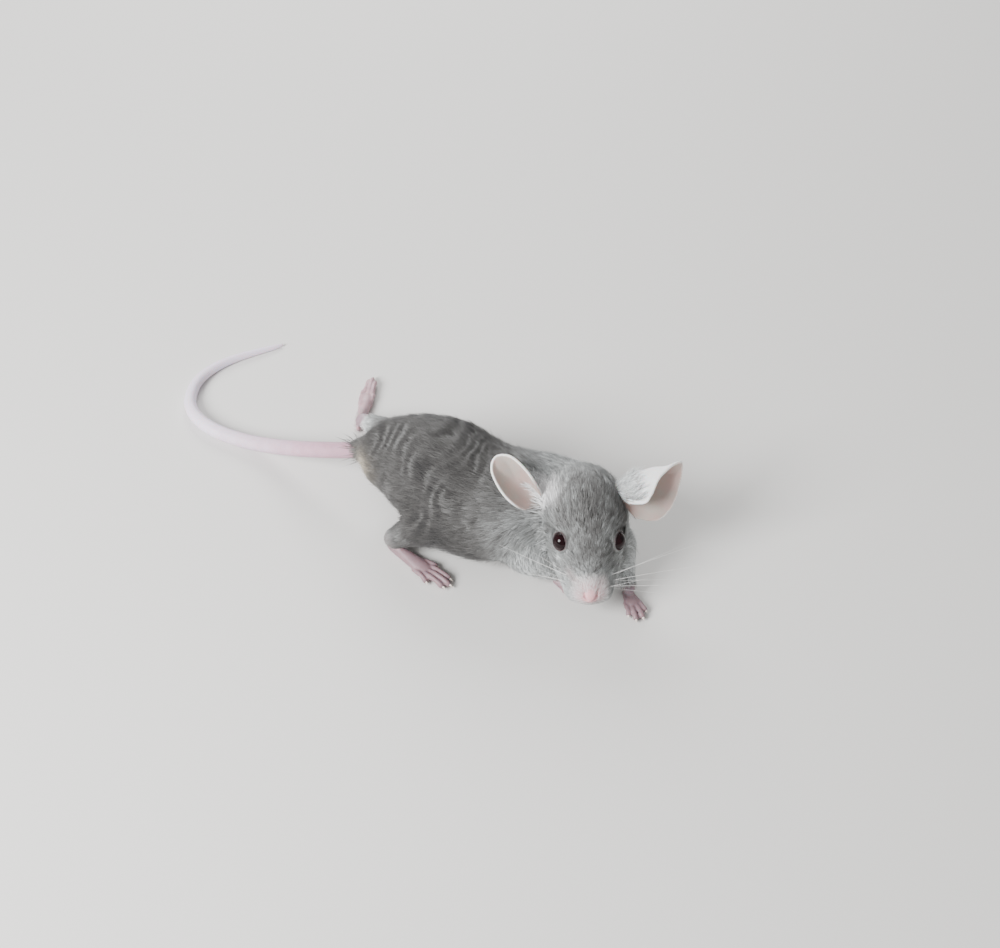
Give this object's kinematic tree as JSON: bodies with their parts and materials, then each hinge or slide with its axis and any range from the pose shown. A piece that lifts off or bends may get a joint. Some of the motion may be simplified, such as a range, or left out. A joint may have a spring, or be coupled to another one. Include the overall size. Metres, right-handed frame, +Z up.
{
  "type": "mouse",
  "caption": "Life-size still model of a grey mouse, stretched forward with its head low and its tail curled round behind it.",
  "frame": {"origin": "on the floor, under the middle of the whole animal's bounding box", "axes": "+X runs from the tail to the shoulders, +Z is up, and -Y is where the nose and both ears face"},
  "size_m": [0.1076, 0.0826, 0.028],
  "materials": {
    "fur": "short soft fur",
    "ear_skin": "thin bare skin",
    "tail_skin": "finely ringed skin",
    "foot_skin": "bare skin",
    "eye": "wet gloss"
  },
  "bodies": {
    "root": {"ear_left": "ear_skin", "ear_right": "ear_skin", "eye_left": "eye", "eye_right": "eye", "forearm_left": "fur", "forearm_right": "fur", "forepaw_left": "foot_skin", "forepaw_right": "foot_skin", "head": "fur", "hind_foot_left": "foot_skin", "hind_foot_right": "foot_skin", "hind_shank_left": "fur", "hind_shank_right": "fur", "hind_thigh_left": "fur", "hind_thigh_right": "fur", "neck": "fur", "tail_1": "tail_skin", "tail_2": "tail_skin", "tail_3": "tail_skin", "tail_4": "tail_skin", "tail_5": "tail_skin", "trunk": "fur", "upper_arm_left": "fur", "upper_arm_right": "fur"}
  },
  "joints": []
}
